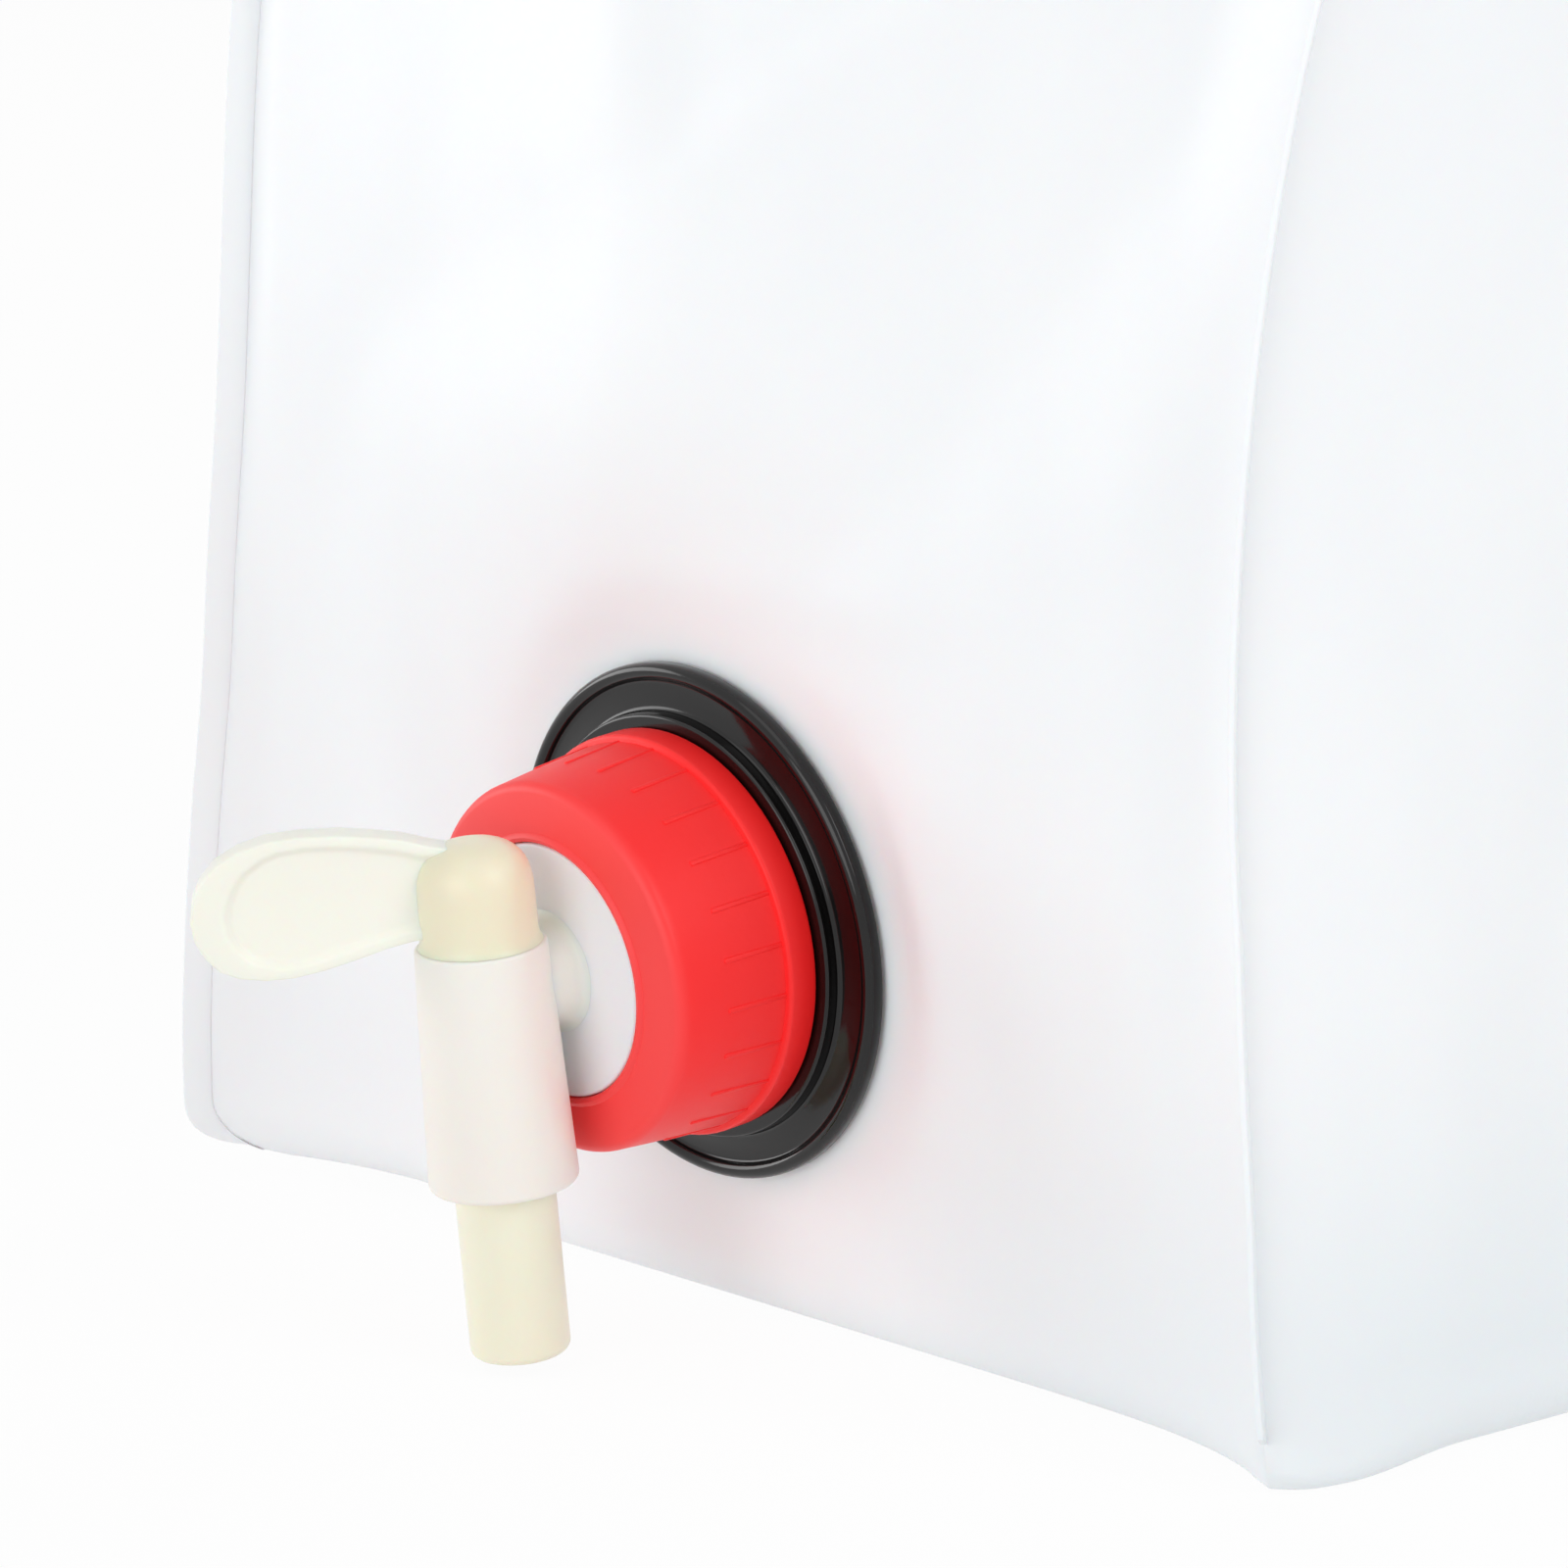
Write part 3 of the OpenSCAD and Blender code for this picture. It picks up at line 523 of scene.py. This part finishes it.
# %% The net
COLUMNS, DEEP, RINGS, ROLL = 120, 80, 130, 10
bpy.ops.mesh.primitive_cube_add(size=2, location=(0, 0, TOP * MM / 2),
                                scale=(HALF_W * MM, HALF_D * MM, TOP * MM / 2))
bag = bpy.context.object
bag.name = "bag"
bpy.ops.object.transform_apply(location=True, rotation=True, scale=True)
pick(bag, "FACE", lambda face, mesh: face.normal.z > 0.9)
bpy.ops.mesh.delete(type="ONLY_FACE")
for axis, cuts in ((2, RINGS - 1), (0, COLUMNS - 1), (1, DEEP - 1)):
    pick(bag, "EDGE", along(axis))
    bpy.ops.mesh.subdivide(number_cuts=cuts)
done()
print("net of", len(bag.data.polygons), "faces")

# %% Move the net onto the bag
BASE_R, EAR_R, LEFT_EAR_R, EAR_PLAN = 10.0, 4.0, 10.0, 7.0
LOW_RINGS, LOW_TOP = 100, 240
FOOT_LIFT = 3.2


def ring_height(j):
    """Rings lie close together up to LOW_TOP, where the folds are, and wider apart above it."""
    if j <= LOW_RINGS:
        return BASE_R + (LOW_TOP - BASE_R) * (j - ROLL) / (LOW_RINGS - ROLL)
    return LOW_TOP + (TOP - LOW_TOP) * (j - LOW_RINGS) / (RINGS - LOW_RINGS)


def roll(share, side, front, wide, j):
    """Height of a ring of the net, and how far the rolled edge draws wall and corner in."""
    ear = LEFT_EAR_R if side < 0 and front else EAR_R
    along_edge = 1 - share ** 12 if wide else smooth((0.88 - abs(share)) / 0.3)
    radius = ear + (BASE_R - ear) * along_edge
    turn = math.pi / 2 * min(1, j / ROLL)
    z = radius * (1 - math.cos(turn)) if j < ROLL else max(radius, ring_height(j))
    if j >= ROLL:
        z = ring_height(j) - (BASE_R - radius) * (1 - smooth((j - ROLL) / 8))
    return z, radius * (1 - math.sin(turn)), ear * (1 - math.sin(turn))


def round_corner(edge, reach, z, plan):
    """Round the corner in plan near the floor: the place along the wall and the step inwards."""
    radius = 0.5 + plan * (1 - smooth(z / 10))
    gap = reach - abs(edge)
    if gap >= radius:
        return edge, 0.0
    turn = (1 - gap / radius) * math.pi / 4
    return math.copysign(reach - radius * (1 - math.sin(turn)), edge), radius * (1 - math.cos(turn))


def lifted(x, y, z):
    """The left foot of the front stands a little off the floor."""
    lift = FOOT_LIFT * smooth((-x - 44) / 38) * smooth((-y - 25) / 45)
    return x, y, z + lift * (1 - min(1, z / 70)) ** 2


def wall_point(face, share, j):
    """A point of the front, back, right or left wall, for a share of its width and a ring."""
    wide = face in ("front", "back")
    side = (1 if share > 0 else -1) if wide else (1 if face == "right" else -1)
    front = face == "front" if wide else share < 0
    z, tuck, corner = roll(share, side, front, wide, j)
    reach = (half_width(z, side) if wide else half_depth(z)) - corner
    a, step = round_corner(share * reach, reach, z, 0 if side < 0 and front else EAR_PLAN)
    if face == "front":
        return lifted(a, step + tuck - front_depth(a, share, z) - front_fold(a, share, z), z)
    if face == "back":
        return lifted(a, back_depth(share, z) + back_fold(a, share, z) - tuck - step, z)
    out = side_width(share, z, side) + side_fold(a, share, z, side) - tuck - step
    return lifted(side * out, a, z)


def gathered(t):
    """Gather the columns of the net towards the corners."""
    return t * (1.25 - 0.25 * t * t)


def bag_point(co):
    """Where a point of the box goes. Points of its base are spread between the base's edges."""
    sx, sy = gathered(co.x / (HALF_W * MM)), gathered(co.y / (HALF_D * MM))
    j = round(co.z / (TOP * MM) * RINGS)
    if abs(sy) > 0.9999:
        return wall_point("front" if sy < 0 else "back", sx, j)
    if abs(sx) > 0.9999:
        return wall_point("right" if sx > 0 else "left", sy, j)
    u, v = (sx + 1) / 2, (sy + 1) / 2
    left, right, front, behind = (FOOT[key] for key in (("left", sy), ("right", sy),
                                                        ("front", sx), ("back", sx)))
    corners = [FOOT[key] for key in (("front", -1), ("front", 1), ("back", -1), ("back", 1))]
    shares = ((1 - u) * (1 - v), u * (1 - v), (1 - u) * v, u * v)
    x, y, z = (front[k] * (1 - v) + behind[k] * v + left[k] * (1 - u) + right[k] * u
               - sum(c[k] * w for c, w in zip(corners, shares)) for k in range(3))
    return x, y, max(0, z)


class FootLine(dict):
    """The four edges of the base, each point worked out once."""
    def __missing__(self, key):
        self[key] = wall_point(key[0], key[1], 0)
        return self[key]


FOOT = FootLine()
for v in bag.data.vertices:
    v.co = Vector(bag_point(v.co)) * MM
print("bag from", [round(min(v.co[k] for v in bag.data.vertices) / MM, 1) for k in range(3)],
      "to", [round(max(v.co[k] for v in bag.data.vertices) / MM, 1) for k in range(3)])

# %% The mouth hole and the top weld
HOLE = 22.9 * MM


def off_axis(co):
    """From the mouth's axis straight out to a point."""
    d = co - MOUTH
    return d - NOSE * d.dot(NOSE)


pick(bag, "FACE", lambda face, mesh: face.center.y < -0.07 and off_axis(face.center).length < HOLE)
bpy.ops.mesh.delete(type="FACE")
pick(bag, "VERT", lambda v, mesh: v.co.z > (TOP - 0.01) * MM)
bpy.ops.mesh.edge_face_add()
outward(bag)
for v in bag.data.vertices:
    reach = off_axis(v.co)
    if v.co.y < -0.07 and HOLE - 2 * MM < reach.length < HOLE + 2 * MM:
        v.co += reach.normalized() * (HOLE - reach.length)
dressed(bag, film, "root", angle=50)
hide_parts("front_panel", "back_panel", "left_side_panel", "right_side_panel", "bottom_panel")

# %% [markdown]
# ## The corner welds
# At each corner two sheets are welded face to face, and the weld stands out as a thin fin. It
# points away from the corner, turns flat where the walls meet in the top band, and follows the
# rounded foot. At the right front corner it ends in a small knot above the floor.

# %% One weld strip
FIN_W, FIN_T, BURIED, STEPS = 4.6, 1.0, 0.5, 180
FOOT_SHARE, KNOT_Z = 0.12, 8
bpy.ops.mesh.primitive_cube_add(size=2, location=(0, 0, 0.5), scale=(FIN_W / 2, FIN_T / 2, 0.5))
strip = bpy.context.object
strip.name = "corner_welds"
bpy.ops.object.transform_apply(location=True, rotation=True, scale=True)
pick(strip, "EDGE", along(2))
bpy.ops.mesh.bevel(offset=0.3, segments=2)
done()
pick(strip, "EDGE", along(2))
bpy.ops.mesh.subdivide(number_cuts=STEPS - 1)
done()


def fin_point(co, side, front):
    """A point of the strip, moved to the corner weld of one side of the front or back."""
    ear = LEFT_EAR_R if side < 0 and front else EAR_R
    first = 25 if side < 0 and front else 80
    bend = min(1, co.z / FOOT_SHARE)
    dip = math.radians(first + (90 - first) * bend)
    height = ear * (1 - math.cos(dip))
    if co.z > FOOT_SHARE:
        part = (co.z - FOOT_SHARE) / (1 - FOOT_SHARE)
        height += (TOP - ear) * (part * 0.6 + 0.4 * part ** 2)
    width = smooth(bend * 1.3) if first < 80 else math.sqrt(1 - (1 - min(1, co.z / 0.03)) ** 2)
    if side > 0 and front:
        dip, height = math.pi / 2, KNOT_Z + (TOP - KNOT_Z) * co.z ** 1.15
        width = math.sqrt(1 - (1 - min(1, (height - KNOT_Z) / 3)) ** 2)
    reach = (co.x + FIN_W / 2) * width - BURIED
    turn = math.radians(50 if side > 0 and front else 45) * smooth((SEAM - height) / 40)
    out = reach * math.sin(dip) - ear * (1 - math.sin(dip)) / math.cos(turn)
    x = half_width(height, side) + out * math.cos(turn) + co.y * math.sin(turn)
    y = half_depth(height) + out * math.sin(turn) - co.y * math.cos(turn)
    return lifted(side * x, -y if front else y, height - max(0, reach) * math.cos(dip))


# %% The four corners
welds = []
for side, front in ((1, True), (-1, True), (1, False), (-1, False)):
    select_only(strip)
    bpy.ops.object.duplicate()
    weld = bpy.context.object
    for v in weld.data.vertices:
        v.co = Vector(fin_point(v.co, side, front)) * MM
    outward(weld)
    welds.append(weld)
select_only(strip)
bpy.ops.object.delete()
for weld in welds:
    weld.select_set(True)
bpy.context.view_layer.objects.active = welds[0]
bpy.ops.object.join()
strip = bpy.context.object
strip.name = "corner_welds"
dressed(strip, film, "root", angle=50)

# %% [markdown]
# ## The lever
# Lever, plug and nozzle are one cream moulding. The round part is a profile spun about its axis.
# The lever is a flat paddle: its outline is drawn once, made thick, and its two faces sink in
# behind a rim.

# %% Turned pieces
def arc(cx, cz, radius, start, end, steps=6):
    """Points of an arc, for a profile in millimetres. Angles are in degrees."""
    turns = [math.radians(start + (end - start) * k / steps) for k in range(steps + 1)]
    return [(cx + radius * math.cos(t), cz + radius * math.sin(t)) for t in turns]


def turned(name, profile, around=72):
    """Draw a profile of (radius, height) points, then spin it round the Z axis."""
    bpy.ops.object.select_all(action="DESELECT")
    bpy.ops.mesh.primitive_plane_add(size=MM, location=(0, 0, 0))
    piece = bpy.context.object
    piece.name = name
    bpy.ops.object.mode_set(mode="EDIT")
    bpy.ops.mesh.select_mode(type="VERT")
    bpy.ops.mesh.select_all(action="SELECT")
    bpy.ops.mesh.merge(type="CENTER")
    bpy.ops.transform.translate(value=(profile[0][0] * MM, 0, profile[0][1] * MM))
    for (r0, z0), (r1, z1) in zip(profile, profile[1:]):
        step = ((r1 - r0) * MM, 0, (z1 - z0) * MM)
        bpy.ops.mesh.extrude_vertices_move(TRANSFORM_OT_translate={"value": step})
    bpy.ops.mesh.select_all(action="SELECT")
    bpy.ops.mesh.spin(steps=around, angle=math.tau, center=(0, 0, 0), axis=(0, 0, 1))
    bpy.ops.mesh.select_all(action="SELECT")
    bpy.ops.mesh.remove_doubles(threshold=0.00001)
    done()
    outward(piece)
    return piece


def put(piece, matrix):
    """Move a piece drawn at the origin to its place, and leave its object at the origin."""
    select_only(piece)
    piece.matrix_world = matrix
    bpy.ops.object.transform_apply(location=True, rotation=True, scale=True)


# %% Plug, hub and nozzle
BOTTOM, HUB_BASE, HUB_TOP, HUB_R, PLUG_R = -53.7, 7.35, 22.35, 8.35, 7.2
DOME, TAP_REACH, LEVER_TURN = 14.6, 41.5, math.radians(232)
nozzle = ([(0, -30), (4.5, -30), (5.4, -32)] + arc(5.9, BOTTOM + 0.5, 0.5, 180, 270, 3)
          + arc(PLUG_R - 1.3, BOTTOM + 1.3, 1.3, 270, 360))
hub = [(PLUG_R, HUB_BASE - 0.1), (8.9, HUB_BASE - 0.1), (8.7, 7.6), (8.5, 8.2), (HUB_R, 9.2),
       (HUB_R, 14.4)]
dome = [(HUB_R * math.cos(a) ** 0.72, DOME + (HUB_TOP - DOME) * math.sin(a) ** 0.8)
        for a in (math.pi / 2 * k / 12 for k in range(1, 12))]
stem = turned("lever_stem", nozzle + hub + dome + [(0, HUB_TOP)])
TAP = MOUTH + NOSE * TAP_REACH * MM
TAP_PLACE = Matrix.Translation(TAP) @ Matrix.Rotation(DROOP, 4, "X")
LEVER_PLACE = TAP_PLACE @ Matrix.Rotation(LEVER_TURN, 4, "Z")
put(stem, LEVER_PLACE)
dressed(stem, hub_cream, "plug")
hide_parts("lever_plug")

# %% The paddle
PADDLE_MID, PADDLE_T = 15.0, 5.0
OUTLINE = ((3.0, 6.9), (6.4, 7.8), (9.5, 8.9), (13.6, 9.7), (18.2, 10.4), (23.5, 10.7),
           (28.7, 10.4), (32.5, 9.4), (35.9, 7.6), (38.2, 5.2), (39.5, 2.5), (40, -0.3),
           (39.7, -3.0), (38.4, -5.7), (36.6, -7.7), (34.1, -8.9), (30.4, -9.6), (26.2, -9.6),
           (21.9, -8.9), (17.6, -7.9), (13.2, -6.7), (9.5, -6.0), (6.4, -5.8), (3.0, -5.6))
bpy.ops.object.select_all(action="DESELECT")
bpy.ops.mesh.primitive_circle_add(vertices=len(OUTLINE), radius=0.02, fill_type="NGON")
paddle = bpy.context.object
paddle.name = "lever_paddle"
for v, (along_lever, high) in zip(paddle.data.vertices, reversed(OUTLINE)):
    v.co = (along_lever * MM, -PADDLE_T / 2 * MM, (PADDLE_MID + high) * MM)
pick(paddle, "FACE", lambda face, mesh: True)
bpy.ops.mesh.extrude_region_move(TRANSFORM_OT_translate={"value": (0, PADDLE_T * MM, 0)})
done()
outward(paddle)
print("paddle blank:", len(paddle.data.vertices), "points")

# %% Sink its two faces behind a rim
RIM, TIP_RIM, RIM_SLOPE, HOLLOW = 1.5, 3.2, 0.9, 1.1


def sink(sign):
    """Inset one broad face, draw the tip's part of the rim wider, and push the face in."""
    pick(paddle, "FACE", lambda face, mesh: face.normal.y * sign > 0.9)
    bpy.ops.mesh.inset(thickness=RIM * MM)
    done()
    for v in paddle.data.vertices:
        if v.select:
            v.co.x -= TIP_RIM * MM * smooth((v.co.x / MM - 20) / 18)
            if v.co.x < 6 * MM:
                v.co.x = 0
    pick(paddle, "FACE", lambda face, mesh: face.normal.y * sign > 0.9 and len(face.vertices) > 4)
    bpy.ops.mesh.inset(thickness=RIM_SLOPE * MM, depth=-HOLLOW * MM)
    done()


def eased(piece, width, sharper_than=30):
    """Round those edges of a piece that turn by more than an angle."""
    select_only(piece)
    bpy.ops.object.modifier_add(type="BEVEL")
    bevel = piece.modifiers["Bevel"]
    bevel.width = width * MM
    bevel.segments = 3
    bevel.limit_method = "ANGLE"
    bevel.angle_limit = math.radians(sharper_than)
    bpy.ops.object.modifier_apply(modifier="Bevel")


for sign in (-1, 1):
    sink(sign)
eased(paddle, 0.7, sharper_than=35)
outward(paddle)
put(paddle, LEVER_PLACE)
dressed(paddle, cream, "plug")
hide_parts("lever_plug")

# %% [markdown]
# ## The clamping flange
# The black flange is one spun profile. A round bead runs along its edge, a shallow groove lies
# behind the bead, and the collar stands up close round the nut. Those small rounds carry all its
# highlights.

# %% Flange
bead = [(23.3, 0.8), (38.25, 0.8), (38.4, 1.0)] + arc(37.15, 2.05, 1.25, 0, 160, 9)
groove = [(35.8, 2.3), (35.3, 2.25), (33.2, 2.6)]
collar = arc(32.2, 3.5, 0.7, 270, 180, 4) + arc(31.0, 4.7, 0.5, 0, 90, 5) + [(23.3, 5.2)]
flange = turned("flange", bead + groove + collar + [(23.3, 0.8)], around=120)
put(flange, MOUTH_PLACE)
dressed(flange, black, "root")
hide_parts("outer_flange")

# %% [markdown]
# ## The ring nut
# The nut is a spun profile too: a rim band at the back, a skirt that narrows to the front, and a
# thin bead round the hole. One grip rib is made, rounded, and copied round the skirt.

# %% Nut body
RIBS, RIB_W = 24, 0.8
rim_band = [(24.2, 5.4)] + arc(29.1, 6.0, 0.6, 270, 360, 4) + arc(29.0, 9.7, 0.7, 0, 90, 5)
skirt = [(28.75, 10.5), (28.3, 16), (27.8, 22), (27.35, 26.6)] + arc(25.5, 27.2, 1.8, 10, 80, 6)
lip = [(22, 29.35), (20.1, 29.45), (19.9, 29.7), (19.4, 29.95), (18.9, 29.8), (18.75, 29.4)]
inside = [(18.75, 27.65), (24.2, 27.65), (24.2, 5.4)]
nut = turned("nut", rim_band + skirt + lip + inside, around=96)

# %% One rib, then all of them
bpy.ops.mesh.primitive_cube_add(size=1, location=(0, 0, 0))
rib = bpy.context.object
for v in rib.data.vertices:
    front = v.co.z > 0
    radius = (27.95 if front else 28.75) + (0.22 if v.co.x > 0 else -0.6)
    v.co = (radius * MM, v.co.y * RIB_W * MM, (20.5 if front else 9.5) * MM)
eased(rib, 0.25)
ribs = []
for k in range(RIBS):
    select_only(rib)
    bpy.ops.object.duplicate()
    ribs.append(bpy.context.object)
    put(ribs[-1], Matrix.Rotation(math.tau * (k + 0.5) / RIBS, 4, "Z"))
select_only(rib)
bpy.ops.object.delete()
for piece in ribs:
    piece.select_set(True)
nut.select_set(True)
bpy.context.view_layer.objects.active = nut
bpy.ops.object.join()
put(nut, MOUTH_PLACE)
dressed(nut, red, "nut", angle=35)
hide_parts("ring_nut")

# %% [markdown]
# ## The tap body
# The plate of the tap sits in the nut and shows as a pale disc. A short pipe with a web under it
# carries the upright barrel. The thin barrel lets the cream plug inside shine through, so it gets a
# warmer finish than the thick disc.

# %% Disc, pipe and barrel
disc = turned("tap_disc", [(4.4, 25.3), (23.1, 25.3), (23.1, 27.5), (18.65, 27.5)]
              + arc(18.05, 29.1, 0.6, 0, 90) + [(9.5, 29.7), (4.4, 29.7), (4.4, 25.3)])
put(disc, MOUTH_PLACE)
pipe = turned("tap_pipe", [(4.4, 29.5), (9.4, 29.5), (8.6, 29.9), (7.8, 30.5), (7.3, 31.6),
                           (7.1, 34), (7.1, 39), (4.4, 39), (4.4, 29.5)])
put(pipe, MOUTH_PLACE)
barrel = turned("tap_barrel", [(7.35, -28.3)] + arc(9.85, -27.4, 0.9, 270, 360)
                + arc(8.95, 6.7, 0.5, 0, 90, 4) + [(7.3, 7.2), (7.3, -28.3), (7.35, -28.3)])
put(barrel, TAP_PLACE)

# %% The web under the pipe
WEB_W = 2.6
bpy.ops.mesh.primitive_cube_add(size=1, location=(0, 0, 0))
web = bpy.context.object
for v in web.data.vertices:
    forward = v.co.z > 0
    foot = -15 if forward else -16.5
    v.co = (v.co.x * WEB_W * MM, (-4 if v.co.y > 0 else foot) * MM, (36 if forward else 29.0) * MM)
outward(web)
eased(web, 0.6)
put(web, MOUTH_PLACE)

# %% Join the tap and dress it
select_only(web)
pipe.select_set(True)
barrel.select_set(True)
bpy.context.view_layer.objects.active = barrel
bpy.ops.object.join()
for piece, material in ((disc, white_plastic), (barrel, ivory)):
    dressed(piece, material, "tap")
    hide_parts("tap_body")

# %% [markdown]
# ## The size
# The box round the dressed model is worked out. The dressed model has to stay in the box of
# the CAD model.

# %% Box of the dressed model
low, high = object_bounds()
